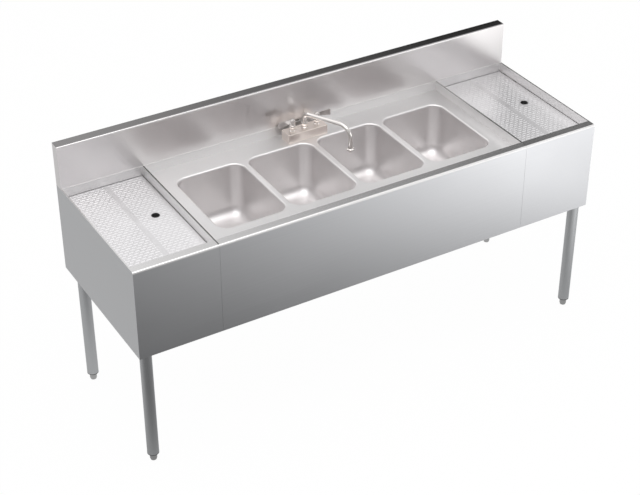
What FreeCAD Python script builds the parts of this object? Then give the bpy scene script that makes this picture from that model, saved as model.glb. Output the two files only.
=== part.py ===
"""Four-bowl underbar sink with two recessed drainboards and a deck faucet.

The sink stands on the floor (z = 0) with its front apron towards -Y and its
length along X. The origin is on the floor under the middle of the sink.
All sizes are in millimetres.
"""
import FreeCAD, Part
import Sketcher
import math
import os
import re

DIMENSIONS = {
    # carcass
    "overall_length": 1828.8,
    "overall_depth": 609.6,
    "rim_height": 805,
    "splash_rise": 163,
    "splash_depth": 40,
    "splash_lip": 25,
    "apron_drop": 342,
    "gauge": 1.5,
    "hem": 6,
    # top
    "rim_width": 34,
    "nose_radius": 6,
    "nose_drop": 8,
    "recess_depth": 36,
    "drainboard_width": 304.8,
    "seam_gap": 0.5,
    "side_rim": 4.5,
    # bowls
    "bowl_width": 254,
    "bowl_length": 355.6,
    "bowl_depth": 205,
    "bowl_pitch": 279.4,
    "bowl_corner": 42,
    "bowl_floor_radius": 38,
    "bowl_lip": 6,
    "basin_shift": 7,
    # drainboard inserts
    "insert_height": 18,
    "insert_clearance": 2,
    "slot_length": 34,
    "slot_width": 4.5,
    "slot_pitch": 42.4,
    "row_pitch": 25.4,
    "strip_shift": 5,
    "strip_width": 19.6,
    "row_shift": 23,
    "finger_hole_radius": 14,
    "finger_land_radius": 20,
    "finger_hole_offset": 75,
    "finger_hole_back": 12.5,
    # drains
    "drain_radius": 24,
    "drain_flange": 38,
    "drain_length": 52,
    "drain_thread": 22,
    "drain_tail_radius": 22.5,
    "gasket_thickness": 3,
    "nut_thickness": 8,
    "outlet_radius": 13.3,
    "outlet_length": 45,
    "outlet_thread": 15,
    "outlet_tail_radius": 12.3,
    # rails and leg channels
    "rail_height": 36,
    "channel_height": 34,
    "bolt_radius": 3,
    "bolt_inset": 10,
    "bolt_margin": 30,
    # legs and feet
    "leg_radius": 20.65,
    "leg_wall": 1.5,
    "leg_inset": 33.5,
    "front_leg_inset": 30.4,
    "back_leg_inset": 71.7,
    "foot_height": 31,
    "foot_radius": 12.7,
    "stem_radius": 6,
    "stem_length": 45,
    "plug_length": 30,
    "gusset_plate": 3,
    "socket_length": 55,
    "set_screw_radius": 4,
    "running_gap": 0.1,
    # faucet
    "faucet_width": 162,
    "faucet_depth": 52,
    "faucet_height": 34,
    "faucet_setback": 48.3,
    "valve_spacing": 101.6,
    "bonnet_height": 21,
    "lever_length": 56,
    "lever_top": 81,
    "lever_root": 11,
    "lever_tip": 25,
    "blade_thickness": 5,
    "hub_radius": 10,
    "cartridge_radius": 9.2,
    "valve_stem": 4,
    "bore_floor": 8,
    "spout_radius": 7.9,
    "spout_bore": 6.6,
    "spout_reach": 204.5,
    "spout_start": 858.3,
    "spout_corner": 874.5,
    "spout_end": 789,
    "spout_first_bend": 16,
    "spout_last_bend": 46,
    "aerator_radius": 14.4,
    "spout_angle": -68,
    "shank_radius": 10.3,
    "shank_length": 52,
    "shank_thread": 22,
    "shank_tail_radius": 9.5,
}

doc = FreeCAD.newDocument("underbar_sink")
dimensions = doc.addObject("Spreadsheet::Sheet", "dim")
for row, (word, number) in enumerate(DIMENSIONS.items(), start=1):
    dimensions.set("A%d" % row, word)
    dimensions.set("B%d" % row, str(number))
    dimensions.setAlias("B%d" % row, word)
working = doc.addObject("Spreadsheet::Sheet", "working")
doc.recompute()

pieces = []


# ---------------------------------------------------------------- helpers
def formula(text):
    """Turn the words of a formula into references to the sheet's cells."""
    return re.sub(r"[a-z][a-z_]+", lambda word: "dim." + word.group(0), str(text))


def bind(item, prop, text):
    """Tie one property of an object to a formula of the sheet's words."""
    item.setExpression(prop, formula(text))


def place(item, x="0", y="0", z="0"):
    """Put a piece where its three formulas say."""
    for axis, text in zip("xyz", (x, y, z)):
        bind(item, "Placement.Base." + axis, text)


def new_body(label):
    """Start a sub-part as a body, and list it for writing."""
    body = doc.addObject("PartDesign::Body", label)
    body.Label = label
    pieces.append(body)
    return body


def new_sketch(body, plane, offset="0"):
    """Lay a sketch on one of the body's own planes, moved along its normal."""
    sketch = body.newObject("Sketcher::SketchObject", body.Label + "_sketch")
    support = [part for part in body.Origin.OriginFeatures if part.Role == plane][0]
    sketch.AttachmentSupport = [(support, "")]
    sketch.MapMode = "FlatFace"
    bind(sketch, "AttachmentOffset.Base.z", offset)
    return sketch


def hold(sketch, kind, geometry, point, text):
    """Fix one coordinate of a sketch point by a formula."""
    number = sketch.addConstraint(Sketcher.Constraint(kind, -1, 1, geometry, point, number_of(text)))
    bind(sketch, "Constraints[%d]" % number, text)


def polygon(sketch, points):
    """Draw a closed outline through points given as pairs of formulas."""
    first = sketch.GeometryCount
    count = len(points)
    for index in range(count):
        start = FreeCAD.Vector(index, index * index, 0)
        end = FreeCAD.Vector(index + 1, (index + 1) ** 2, 0)
        sketch.addGeometry(Part.LineSegment(start, end), False)
    for index in range(count):
        following = first + (index + 1) % count
        sketch.addConstraint(Sketcher.Constraint("Coincident", first + index, 2, following, 1))
    for index, (x, y) in enumerate(points):
        hold(sketch, "DistanceX", first + index, 1, x)
        hold(sketch, "DistanceY", first + index, 1, y)


def rectangle(sketch, left, right, bottom, top):
    """Draw a rectangle between four formulas."""
    polygon(sketch, [(left, bottom), (right, bottom), (right, top), (left, top)])


def rounded_rectangle(sketch, half_width, half_length, radius):
    """Draw a rectangle with round corners about the sketch's origin, counter-clockwise."""
    inner_x = "(%s - %s)" % (half_width, radius)
    inner_y = "(%s - %s)" % (half_length, radius)
    lines = [
        ("-" + inner_x, "-" + half_length, inner_x, "-" + half_length),
        (half_width, "-" + inner_y, half_width, inner_y),
        (inner_x, half_length, "-" + inner_x, half_length),
        ("-" + half_width, inner_y, "-" + half_width, "-" + inner_y),
    ]
    first = sketch.GeometryCount
    for start_x, start_y, end_x, end_y in lines:
        start = FreeCAD.Vector(number_of(start_x), number_of(start_y), 0)
        end = FreeCAD.Vector(number_of(end_x), number_of(end_y), 0)
        line = sketch.addGeometry(Part.LineSegment(start, end), False)
        hold(sketch, "DistanceX", line, 1, start_x)
        hold(sketch, "DistanceY", line, 1, start_y)
        hold(sketch, "DistanceX", line, 2, end_x)
        hold(sketch, "DistanceY", line, 2, end_y)
    centres = [
        (inner_x, "-" + inner_y),
        (inner_x, inner_y),
        ("-" + inner_x, inner_y),
        ("-" + inner_x, "-" + inner_y),
    ]
    for index, (x, y) in enumerate(centres):
        centre = FreeCAD.Vector(number_of(x), number_of(y), 0)
        ring = Part.Circle(centre, FreeCAD.Vector(0, 0, 1), number_of(radius))
        turn = (index - 1) * math.pi / 2
        corner = sketch.addGeometry(Part.ArcOfCircle(ring, turn, turn + math.pi / 2), False)
        before = first + index
        after = first + (index + 1) % 4
        sketch.addConstraint(Sketcher.Constraint("Coincident", before, 2, corner, 1))
        sketch.addConstraint(Sketcher.Constraint("Coincident", corner, 2, after, 1))
        hold(sketch, "DistanceX", corner, 3, x)


def circle(sketch, x, y, radius):
    """Draw a circle from three formulas."""
    number = sketch.addGeometry(Part.Circle(FreeCAD.Vector(1, 1, 0), FreeCAD.Vector(0, 0, 1), 5), False)
    hold(sketch, "DistanceX", number, 3, x)
    hold(sketch, "DistanceY", number, 3, y)
    constraint = sketch.addConstraint(Sketcher.Constraint("Radius", number, 5.0))
    bind(sketch, "Constraints[%d]" % constraint, radius)


def pad(body, sketch, length, backwards=False):
    """Raise a sketch into a solid, along its normal or against it."""
    feature = body.newObject("PartDesign::Pad", body.Label + "_pad")
    feature.Profile = sketch
    bind(feature, "Length", length)
    feature.Reversed = backwards
    sketch.Visibility = False
    doc.recompute()
    return feature


def pocket(body, sketch, length, along_normal=False):
    """Cut a sketch out of the solid, against its normal unless told otherwise."""
    volume = body.Shape.Volume
    feature = body.newObject("PartDesign::Pocket", body.Label + "_pocket")
    feature.Profile = sketch
    bind(feature, "Length", length)
    feature.Reversed = along_normal
    doc.recompute()
    if not feature.Shape.Volume < volume - 0.01:
        raise RuntimeError("the pocket of %s cuts nothing" % body.Label)
    return feature


def revolve(body, points):
    """Turn an outline of (radius, height) formulas about the body's Z axis."""
    sketch = new_sketch(body, "XZ_Plane")
    polygon(sketch, points)
    feature = body.newObject("PartDesign::Revolution", body.Label + "_turned")
    feature.Profile = sketch
    feature.ReferenceAxis = (sketch, ["V_Axis"])
    feature.Angle = 360.0
    doc.recompute()
    return feature


def round_edges(body, radius, wanted):
    """Round those edges of the body for which wanted(edge) is true."""
    base = body.Tip
    names = ["Edge%d" % (index + 1) for index, edge in enumerate(base.Shape.Edges) if wanted(edge)]
    if not names:
        raise RuntimeError("no edge to round on %s" % body.Label)
    feature = body.newObject("PartDesign::Fillet", body.Label + "_rounding")
    feature.Base = (base, names)
    bind(feature, "Radius", radius)
    doc.recompute()
    return feature


def carve(body, tool):
    """Cut one body out of another."""
    feature = body.newObject("PartDesign::Boolean", body.Label + "_carved")
    feature.Type = "Cut"
    feature.addObjects([tool])
    body.Tip = feature
    doc.recompute()
    return feature


def repeat(body, feature, direction, length, count):
    """Repeat a feature in a row along a sketch axis."""
    pattern = body.newObject("PartDesign::LinearPattern", body.Label + "_row")
    pattern.Originals = [feature]
    pattern.Direction = direction
    bind(pattern, "Length", length)
    pattern.Occurrences = count
    body.Tip = pattern
    doc.recompute()
    return pattern


def compound(label, members):
    """Gather like pieces, each a solid of its own, under one name."""
    group = doc.addObject("Part::Compound", label)
    group.Label = label
    group.Links = members
    pieces.append(group)
    return group


def value(word):
    """Read one driving dimension."""
    return float(dimensions.get(word))


def number_of(text):
    """Work out a formula's present value on the sheet."""
    working.set("A1", "=" + re.sub(r"[a-z][a-z_]+", word_value, str(text)))
    working.recompute()
    return float(working.get("A1"))


def word_value(match):
    """The number that one word of a formula stands for."""
    return repr(value(match.group(0)))


def is_upright(edge):
    """True for a straight edge along Z."""
    box = edge.BoundBox
    return box.ZLength > 1 and box.XLength < 1e-6 and box.YLength < 1e-6


def is_level_at(height, half_width=None, half_length=None):
    """Make a test for edges that lie wholly at one height, and inside a rectangle if given."""
    def test(edge):
        box = edge.BoundBox
        level = box.ZLength < 1e-6 and abs(box.ZMin - height) < 1e-4
        if half_width is None:
            return level
        across = max(abs(box.XMin), abs(box.XMax)) < half_width + 0.01
        along = max(abs(box.YMin), abs(box.YMax)) < half_length + 0.01
        return level and across and along
    return test


# ---------------------------------------------------------------- shared places
END = "(overall_length / 2)"
SEAM = "(overall_length / 2 - drainboard_width)"
FRONT = "(-overall_depth / 2)"
BACK = "(overall_depth / 2)"
RECESS_FRONT = "(rim_width - overall_depth / 2)"
SPLASH_FACE = "(overall_depth / 2 - splash_depth)"
DECK = "(rim_height - recess_depth)"
BOARD_FLOOR = "(rim_height - recess_depth - insert_height)"
NOSE_END = "(rim_height - nose_drop)"
SKIRT_END = "(rim_height - apron_drop)"
SPLASH_TOP = "(rim_height + splash_rise)"
BOARD_X = "((overall_length - drainboard_width + seam_gap) / 2)"
RECESS_Y = "((rim_width - splash_depth) / 2)"
OUTLET_Y = "(overall_depth / 4)"
BOLT_Y = FRONT + " + gauge + bolt_inset"
BOLT_HEIGHTS = (SKIRT_END + " + 2 * bolt_margin", DECK + " - 2 * bolt_margin")
LEG_X = "(overall_length / 2 - leg_inset)"
GUSSET_TOP = "(rim_height - recess_depth - insert_height - 2 * gauge)"
LEG_TOP = "(%s - gusset_plate)" % GUSSET_TOP
PLUG_LIP = "(2 * gauge)"
FAUCET_Y = "(overall_depth / 2 - splash_depth - faucet_setback)"
SIDES = {"left": "-1", "right": "1"}
ENDS = {"left": ("-" + END, "(-" + SEAM + " - seam_gap)"), "right": ("(" + SEAM + " + seam_gap)", END)}
LEG_ROWS = {"front": "(front_leg_inset - overall_depth / 2)", "back": "(overall_depth / 2 - back_leg_inset)"}
BOWLS = {1: "-1.5", 2: "-0.5", 3: "0.5", 4: "1.5"}


def bowl_x(number):
    """The middle of one bowl along the sink."""
    return "(basin_shift + %s * bowl_pitch)" % BOWLS[number]


def along_x(body, outline, low, high):
    """Draw an outline of (y, z) formulas and carry it along X from low to high."""
    sketch = new_sketch(body, "YZ_Plane", low)
    polygon(sketch, outline)
    return pad(body, sketch, "%s - (%s)" % (high, low))


def slab(body, x_range, y_range, z_range):
    """Add a rectangular wall between three pairs of formulas."""
    y_low, y_high = y_range
    z_low, z_high = z_range
    corners = [(y_low, z_low), (y_high, z_low), (y_high, z_high), (y_low, z_high)]
    return along_x(body, corners, *x_range)


def round_nose(body, y, z):
    """Bend the long front edge at (y, z): first its inner side, then its outer side."""
    def along_front(y_edge, z_edge):
        def test(edge):
            box = edge.BoundBox
            near = abs(box.YMin - y_edge) < 1e-4 and abs(box.ZMin - z_edge) < 1e-4
            return near and box.XLength > 1 and box.YLength < 1e-6 and box.ZLength < 1e-6
        return test
    gauge = value("gauge")
    round_edges(body, "nose_radius - gauge", along_front(y + gauge, z - gauge))
    round_edges(body, "nose_radius", along_front(y, z))


# ---------------------------------------------------------------- top of the sink
def rim_outline():
    """Front rim with its turned-down nose, seen from the side."""
    return [
        (FRONT, NOSE_END),
        (FRONT, "rim_height"),
        (RECESS_FRONT, "rim_height"),
        (RECESS_FRONT, "rim_height - gauge"),
        (FRONT + " + gauge", "rim_height - gauge"),
        (FRONT + " + gauge", NOSE_END),
    ]


def pan_outline(floor):
    """Front wall, floor and back wall of a recess, seen from the side."""
    return [
        (RECESS_FRONT + " - gauge", "rim_height"),
        (RECESS_FRONT, "rim_height"),
        (RECESS_FRONT, floor),
        (SPLASH_FACE, floor),
        (SPLASH_FACE, "rim_height"),
        (SPLASH_FACE + " + gauge", "rim_height"),
        (SPLASH_FACE + " + gauge", floor + " - gauge"),
        (RECESS_FRONT + " - gauge", floor + " - gauge"),
    ]


def make_centre_deck():
    """Recessed middle deck, folded from one sheet, with four bowl openings."""
    body = new_body("centre_deck")
    along_x(body, rim_outline(), "-" + SEAM, SEAM)
    along_x(body, pan_outline(DECK), "-" + SEAM, SEAM)
    depth_range = (RECESS_FRONT + " - gauge", SPLASH_FACE + " + gauge")
    height_range = (DECK + " - gauge", "rim_height")
    slab(body, ("-" + SEAM, "-" + SEAM + " + gauge"), depth_range, height_range)
    slab(body, (SEAM + " - gauge", SEAM), depth_range, height_range)
    openings = new_sketch(body, "XY_Plane", DECK)
    half_width = "(bowl_width / 2 + bowl_lip)"
    half_length = "(bowl_length / 2 + bowl_lip)"
    for number in BOWLS:
        middle = bowl_x(number)
        rectangle(openings, middle + " - " + half_width, middle + " + " + half_width,
                  RECESS_Y + " - " + half_length, RECESS_Y + " + " + half_length)
    pocket(body, openings, "gauge")
    limit = value("bowl_length") / 2 + value("bowl_lip") + 1
    middle_y = (value("rim_width") - value("splash_depth")) / 2

    def at_opening(edge):
        box = edge.BoundBox
        inside = abs(box.YMin - middle_y) < limit and abs(box.XMin) < value("bowl_pitch") * 2 + 10
        return is_thin_upright(edge) and inside
    round_edges(body, "bowl_corner + bowl_lip", at_opening)
    holes = new_sketch(body, "XY_Plane", DECK)
    for side in ("-", "+"):
        circle(holes, "basin_shift %s valve_spacing / 2" % side, FAUCET_Y, "shank_radius + 0.7")
    pocket(body, holes, "gauge")
    round_nose(body, -value("overall_depth") / 2, value("rim_height"))


def is_thin_upright(edge):
    """True for an upright edge as long as the sheet is thick."""
    box = edge.BoundBox
    return abs(box.ZLength - value("gauge")) < 1e-4 and box.XLength < 1e-6 and box.YLength < 1e-6


def make_bowl_room(number):
    """The room inside a bowl, as a body to carve out of it."""
    room = doc.addObject("PartDesign::Body", "bowl_room_%d" % number)
    inner = new_sketch(room, "XY_Plane")
    rounded_rectangle(inner, "(bowl_width / 2)", "(bowl_length / 2)", "bowl_corner")
    pad(room, inner, "bowl_depth", backwards=True)
    round_edges(room, "bowl_floor_radius", is_level_at(-value("bowl_depth")))
    return room


def make_bowl(number):
    """Drawn bowl: its lip rolls over from the deck and its floor is coved all round."""
    body = new_body("bowl_%d" % number)
    gauge = value("gauge")
    half_width = value("bowl_width") / 2
    half_length = value("bowl_length") / 2
    outer = new_sketch(body, "XY_Plane")
    rounded_rectangle(outer, "(bowl_width / 2 + gauge)", "(bowl_length / 2 + gauge)", "(bowl_corner + gauge)")
    pad(body, outer, "bowl_depth + gauge", backwards=True)
    round_edges(body, "bowl_floor_radius + gauge", is_level_at(-value("bowl_depth") - gauge))
    lip = new_sketch(body, "XY_Plane")
    rounded_rectangle(lip, "(bowl_width / 2 + bowl_lip)", "(bowl_length / 2 + bowl_lip)",
                      "(bowl_corner + bowl_lip)")
    pad(body, lip, "gauge", backwards=True)
    carve(body, make_bowl_room(number))
    under_lip = is_level_at(-gauge, half_width + gauge, half_length + gauge)
    round_edges(body, "0.9 * (bowl_lip - gauge)", under_lip)
    round_edges(body, "0.99 * bowl_lip", is_level_at(0, half_width, half_length))
    hole = new_sketch(body, "XY_Plane", "-bowl_depth")
    circle(hole, "0", "0", "drain_radius + running_gap")
    pocket(body, hole, "gauge")
    place(body, bowl_x(number), RECESS_Y, DECK)


def make_drainboard(side):
    """Pan at one end of the sink: one folded sheet with a welded plate at each end."""
    low, high = ENDS[side]
    sheet = doc.addObject("PartDesign::Body", side + "_pan_sheet")
    along_x(sheet, rim_outline(), low, high)
    along_x(sheet, pan_outline(BOARD_FLOOR), low + " + side_rim", high + " - side_rim")
    hole = new_sketch(sheet, "XY_Plane", BOARD_FLOOR)
    circle(hole, "%s * %s" % (SIDES[side], BOARD_X), OUTLET_Y, "outlet_radius")
    pocket(sheet, hole, "gauge")
    round_nose(sheet, -value("overall_depth") / 2, value("rim_height"))
    low_end = make_pan_end(side + "_pan_low_end", (low, low + " + side_rim"),
                           (low + " + side_rim - gauge", low + " + side_rim"))
    high_end = make_pan_end(side + "_pan_high_end", (high + " - side_rim", high),
                            (high + " - side_rim", high + " - side_rim + gauge"))
    compound(side + "_drainboard", [sheet, low_end, high_end])


def make_pan_end(name, flange_range, wall_range):
    """Plate that closes one end of a drainboard pan, with a flange that laps the rim."""
    body = doc.addObject("PartDesign::Body", name)
    slab(body, flange_range, (RECESS_FRONT, SPLASH_FACE), ("rim_height - gauge", "rim_height"))
    slab(body, wall_range, (RECESS_FRONT + " - gauge", SPLASH_FACE + " + gauge"),
         (BOARD_FLOOR + " - gauge", "rim_height - gauge"))
    return body


def make_insert(side):
    """Lift-out drainer: a plate with turned-down edges, two panels of slots and a finger hole."""
    body = new_body(side + "_insert")
    half_width = "((drainboard_width - seam_gap) / 2 - side_rim - insert_clearance)"
    half_length = "((overall_depth - rim_width - splash_depth) / 2 - insert_clearance)"
    outer = new_sketch(body, "XY_Plane")
    rectangle(outer, "-" + half_width, half_width, "-" + half_length, half_length)
    pad(body, outer, "insert_height")
    inner = new_sketch(body, "XY_Plane")
    rectangle(inner, "-" + half_width + " + gauge", half_width + " - gauge",
              "-" + half_length + " + gauge", half_length + " - gauge")
    pocket(body, inner, "insert_height - gauge", along_normal=True)
    cut_slots(body, 3, "0", 10)
    cut_slots(body, 2, "1", 9)
    land = new_sketch(body, "XY_Plane", "insert_height - gauge")
    circle(land, "finger_hole_offset", "finger_hole_back", "finger_land_radius")
    pad(body, land, "gauge")
    hole = new_sketch(body, "XY_Plane", "insert_height")
    circle(hole, "finger_hole_offset", "finger_hole_back", "finger_hole_radius")
    pocket(body, hole, "gauge")
    place(body, "%s * %s" % (SIDES[side], BOARD_X), RECESS_Y, BOARD_FLOOR)


def cut_slots(body, per_panel, stagger, rows):
    """Cut every second row of slots, in a panel on each side of the plain middle strip."""
    sketch = new_sketch(body, "XY_Plane", "insert_height")
    first_row = "(row_shift + (%s - 9) * row_pitch)" % stagger
    for direction in ("-1", "1"):
        for number in range(per_panel):
            reach = "(strip_width / 2 + slot_length / 2 + (%d + %s / 2) * slot_pitch)" % (number, stagger)
            middle = "(strip_shift + %s * %s)" % (direction, reach)
            rectangle(sketch, middle + " - slot_length / 2", middle + " + slot_length / 2",
                      first_row + " - slot_width / 2", first_row + " + slot_width / 2")
    row = pocket(body, sketch, "gauge")
    repeat(body, row, (sketch, ["V_Axis"]), "%d * row_pitch" % (2 * (rows - 1)), rows)


# ---------------------------------------------------------------- splash, skirts and rails
def make_backsplash():
    """Upright sheet behind the sink, folded back over the top and down again."""
    body = new_body("backsplash")
    outline = [
        (SPLASH_FACE, "rim_height"),
        (SPLASH_FACE, SPLASH_TOP),
        (BACK, SPLASH_TOP),
        (BACK, SPLASH_TOP + " - splash_lip"),
        (BACK + " - gauge", SPLASH_TOP + " - splash_lip"),
        (BACK + " - gauge", SPLASH_TOP + " - gauge"),
        (SPLASH_FACE + " + gauge", SPLASH_TOP + " - gauge"),
        (SPLASH_FACE + " + gauge", "rim_height"),
    ]
    along_x(body, outline, "-%s + gauge" % END, END + " - gauge")
    round_nose(body, value("overall_depth") / 2 - value("splash_depth"),
               value("rim_height") + value("splash_rise"))


def make_splash_cap(side):
    """Plate that closes one end of the splash."""
    body = new_body(side + "_splash_cap")
    low, high = {"left": ("-" + END, "-%s + gauge" % END), "right": (END + " - gauge", END)}[side]
    slab(body, (low, high), (SPLASH_FACE, BACK), ("rim_height - gauge", SPLASH_TOP))
    front = value("overall_depth") / 2 - value("splash_depth")
    top = value("rim_height") + value("splash_rise")

    def top_corner(edge):
        box = edge.BoundBox
        at_corner = abs(box.YMax - front) < 1e-4 and abs(box.ZMin - top) < 1e-4
        return at_corner and box.XLength > 0.1
    round_edges(body, "nose_radius", top_corner)


def make_side_panel(side):
    """End skirt, with narrow turned-in edges at the bottom and back."""
    body = new_body(side + "_side_panel")
    low, high = {"left": ("-" + END, "-%s + gauge" % END), "right": (END + " - gauge", END)}[side]
    inner_low, inner_high = {
        "left": ("-%s + gauge" % END, "-%s + gauge + hem" % END),
        "right": ("%s - gauge - hem" % END, END + " - gauge"),
    }[side]
    top = "rim_height - gauge"
    slab(body, (low, high), (FRONT + " + gauge", BACK), (SKIRT_END, top))
    slab(body, (inner_low, inner_high), (FRONT + " + gauge", BACK), (SKIRT_END, SKIRT_END + " + gauge"))
    slab(body, (inner_low, inner_high), (BACK + " - gauge", BACK), (SKIRT_END, top))
    front = value("gauge") - value("overall_depth") / 2
    height = value("rim_height") - value("gauge")

    def under_nose(edge):
        box = edge.BoundBox
        at_corner = abs(box.YMax - front) < 1e-4 and abs(box.ZMin - height) < 1e-4
        return at_corner and box.XLength > 0.1
    round_edges(body, "nose_radius - gauge", under_nose)


def make_apron(name, x_range, hem_range, joins):
    """Front skirt with a turned-in bottom edge and a bolting flange at each seam."""
    body = new_body(name + "_apron")
    slab(body, x_range, (FRONT, FRONT + " + gauge"), (SKIRT_END, NOSE_END))
    slab(body, hem_range, (FRONT + " + gauge", FRONT + " + gauge + hem"), (SKIRT_END, SKIRT_END + " + gauge"))
    depth_range = (FRONT + " + gauge", FRONT + " + gauge + 2 * bolt_inset")
    height_range = (SKIRT_END + " + hem", "rim_height - recess_depth - hem")
    for start in joins:
        slab(body, (start, start + " + gauge"), depth_range, height_range)
        holes = new_sketch(body, "YZ_Plane", start)
        for height in BOLT_HEIGHTS:
            circle(holes, BOLT_Y, height, "bolt_radius")
        pocket(body, holes, "gauge", along_normal=True)


def make_front_rail():
    """Channel that stiffens the front rim from below."""
    body = new_body("front_rail")
    front = FRONT + " + nose_radius + gauge"
    back = RECESS_FRONT + " - gauge"
    outline = channel_outline(front, back, "rim_height - gauge - rail_height", "rim_height - gauge")
    along_x(body, outline, "-%s + side_rim" % END, END + " - side_rim")


def channel_outline(near, far, low, high):
    """A channel that opens downwards, between two y or x formulas and two heights."""
    return [
        (near, low),
        (near, high),
        (far, high),
        (far, low),
        (far + " - gauge", low),
        (far + " - gauge", high + " - gauge"),
        (near + " + gauge", high + " - gauge"),
        (near + " + gauge", low),
    ]


def make_rear_rail():
    """Trough behind the back wall that laps the deck, the drainboards and the splash."""
    body = new_body("rear_rail")
    near = SPLASH_FACE + " + gauge"
    far = BACK + " - gauge"
    low = DECK
    outline = [
        (near, low),
        (near, "rim_height + 2.5 * hem"),
        (near + " + gauge", "rim_height + 2.5 * hem"),
        (near + " + gauge", low + " + gauge"),
        (far + " - gauge", low + " + gauge"),
        (far + " - gauge", "rim_height - 2.5 * hem"),
        (far, "rim_height - 2.5 * hem"),
        (far, low),
    ]
    along_x(body, outline, "-%s + gauge" % END, END + " - gauge")


def make_leg_channel(side):
    """Channel under one drainboard, from front to back, that carries two legs."""
    body = new_body(side + "_leg_channel")
    sketch = new_sketch(body, "XZ_Plane", "-(%s + gauge)" % FRONT)
    middle = "%s * %s" % (SIDES[side], LEG_X)
    half = "(leg_inset - gauge)"
    top = BOARD_FLOOR + " - gauge"
    polygon(sketch, channel_outline(middle + " - " + half, middle + " + " + half,
                                    top + " - channel_height", top))
    pad(body, sketch, "overall_depth - 2 * gauge", backwards=True)


# ---------------------------------------------------------------- legs
def make_gusset(row, side):
    """Plate and socket welded under the leg channel; the leg stands in the socket."""
    body = new_body("gusset_%s_%s" % (row, side))
    plate = new_sketch(body, "XY_Plane")
    half = "(front_leg_inset - 2 * gauge)"
    rectangle(plate, "-" + half, half, "-" + half, half)
    pad(body, plate, "gusset_plate", backwards=True)
    socket = new_sketch(body, "XY_Plane")
    circle(socket, "0", "0", "leg_radius + gusset_plate")
    pad(body, socket, "gusset_plate + socket_length", backwards=True)
    bore = new_sketch(body, "XY_Plane", "-gusset_plate - socket_length")
    circle(bore, "0", "0", "leg_radius")
    pocket(body, bore, "socket_length", along_normal=True)
    screw_hole = new_sketch(body, "YZ_Plane")
    circle(screw_hole, "0", "-gusset_plate - socket_length / 2", "set_screw_radius")
    pocket(body, screw_hole, "2 * leg_radius", along_normal=(side == "left"))
    place(body, "%s * %s" % (SIDES[side], LEG_X), LEG_ROWS[row], GUSSET_TOP)


def make_leg(row, side):
    """Round tube from the gusset plate down to its plug."""
    body = new_body("leg_%s_%s" % (row, side))
    length = LEG_TOP + " - foot_height - " + PLUG_LIP
    revolve(body, [
        ("leg_radius - leg_wall", "0"),
        ("leg_radius", "0"),
        ("leg_radius", length),
        ("leg_radius - leg_wall", length),
    ])
    place(body, "%s * %s" % (SIDES[side], LEG_X), LEG_ROWS[row], "foot_height + " + PLUG_LIP)


def make_foot(row, side):
    """Bullet foot: a domed end with a screwed stem that winds in and out of the leg."""
    body = new_body("foot_%s_%s" % (row, side))
    revolve(body, [
        ("0", "0"),
        ("foot_radius * 0.6", "0"),
        ("foot_radius * 0.85", "foot_height * 0.08"),
        ("foot_radius", "foot_height * 0.3"),
        ("foot_radius", "foot_height * 0.8"),
        ("foot_radius * 0.8", "foot_height"),
        ("stem_radius", "foot_height"),
        ("stem_radius", "foot_height + stem_length"),
        ("0", "foot_height + stem_length"),
    ])
    place(body, "%s * %s" % (SIDES[side], LEG_X), LEG_ROWS[row])


def make_leg_plugs():
    """Turned plugs pressed into the ends of the four tubes; each guides a foot."""
    members = []
    for row in LEG_ROWS:
        for side in SIDES:
            body = doc.addObject("PartDesign::Body", "plug_%s_%s" % (row, side))
            revolve(body, [
                ("stem_radius + running_gap", "0"),
                ("leg_radius", "0"),
                ("leg_radius", PLUG_LIP),
                ("leg_radius - leg_wall", PLUG_LIP),
                ("leg_radius - leg_wall", "plug_length"),
                ("stem_radius + running_gap", "plug_length"),
            ])
            place(body, "%s * %s" % (SIDES[side], LEG_X), LEG_ROWS[row], "foot_height")
            members.append(body)
    compound("leg_plugs", members)


def make_set_screws():
    """Socket screws that hold the legs in their gussets."""
    members = []
    for row in LEG_ROWS:
        for side, sign in SIDES.items():
            name = "%s_%s" % (row, side)
            shank = doc.addObject("Part::Cylinder", "set_screw_shank_" + name)
            bind(shank, "Radius", "set_screw_radius")
            bind(shank, "Height", "2 * set_screw_radius")
            key = doc.addObject("Part::Prism", "set_screw_key_" + name)
            key.Polygon = 6
            bind(key, "Circumradius", "set_screw_radius / 2")
            bind(key, "Height", "set_screw_radius")
            place(key, z="set_screw_radius")
            screw = doc.addObject("Part::Cut", "set_screw_" + name)
            screw.Base = shank
            screw.Tool = key
            inward = -float(sign)
            screw.Placement.Rotation = FreeCAD.Rotation(FreeCAD.Vector(0, 0, 1), FreeCAD.Vector(inward, 0, 0))
            place(screw, "%s * (%s - leg_radius)" % (sign, LEG_X), LEG_ROWS[row],
                  GUSSET_TOP + " - gusset_plate - socket_length / 2")
            members.append(screw)
    compound("leg_set_screws", members)


# ---------------------------------------------------------------- drains
def make_drain(number):
    """Bowl drain: a dished flange with a perforated grid and a screwed tail."""
    body = new_body("drain_%d" % number)
    revolve(body, [
        ("0", "-2 * gauge"),
        ("drain_radius * 0.8", "-2 * gauge"),
        ("drain_radius", "2 * gauge"),
        ("drain_flange * 0.9", "1.5 * gauge"),
        ("drain_flange", "0"),
        ("drain_radius", "0"),
        ("drain_radius", "-drain_thread"),
        ("drain_tail_radius", "-drain_thread"),
        ("drain_tail_radius", "-drain_length"),
        ("drain_radius * 0.88", "-drain_length"),
        ("drain_radius * 0.88", "-4 * gauge"),
        ("0", "-4 * gauge"),
    ])
    hole = new_sketch(body, "XY_Plane", "-2 * gauge")
    circle(hole, "drain_radius * 0.5", "0", "drain_radius * 0.14")
    cut = pocket(body, hole, "2 * gauge")
    ring = body.newObject("PartDesign::PolarPattern", body.Label + "_ring")
    ring.Originals = [cut]
    ring.Axis = (hole, ["N_Axis"])
    ring.Angle = 360
    ring.Occurrences = 8
    body.Tip = ring
    place(body, bowl_x(number), RECESS_Y, DECK + " - bowl_depth")


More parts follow.
